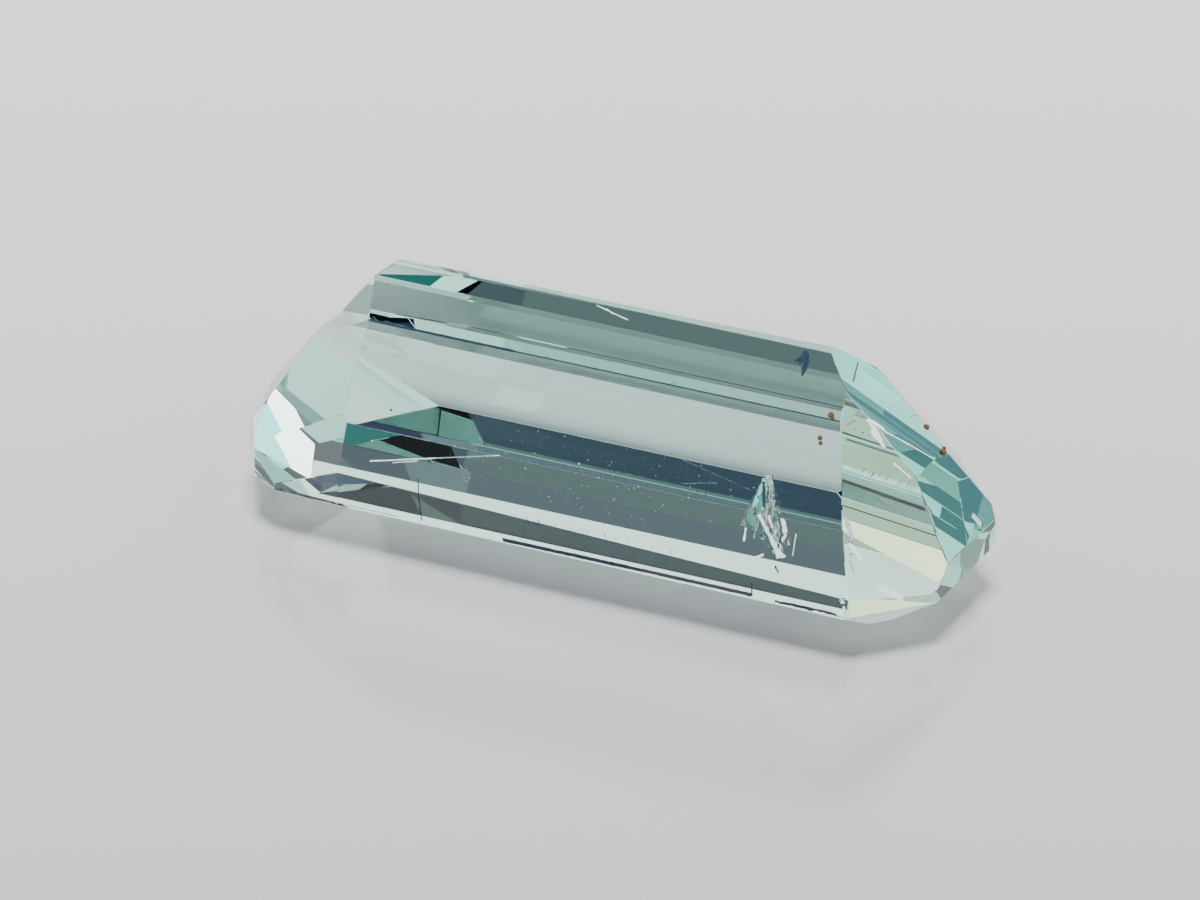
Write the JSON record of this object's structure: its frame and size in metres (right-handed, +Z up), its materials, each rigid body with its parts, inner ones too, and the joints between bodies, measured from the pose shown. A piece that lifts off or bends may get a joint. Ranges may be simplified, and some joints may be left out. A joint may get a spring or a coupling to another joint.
{
  "type": "cut green beryl gemstone",
  "caption": "Elongated step-cut green beryl, clear pale blue-green, lying on its table with the keel up",
  "frame": {"origin": "centre of the stone's bounding box in X and Y, on the plane of the table it rests on", "axes": "+X along the stone toward its narrower, symmetric end; -Y toward its front long side; +Z up, from the table to the keel of the pavilion"},
  "size_m": [0.0106, 0.004, 0.0034],
  "materials": {
    "beryl": "polished"
  },
  "bodies": {
    "root": {"cut_beryl": "beryl"}
  },
  "joints": []
}
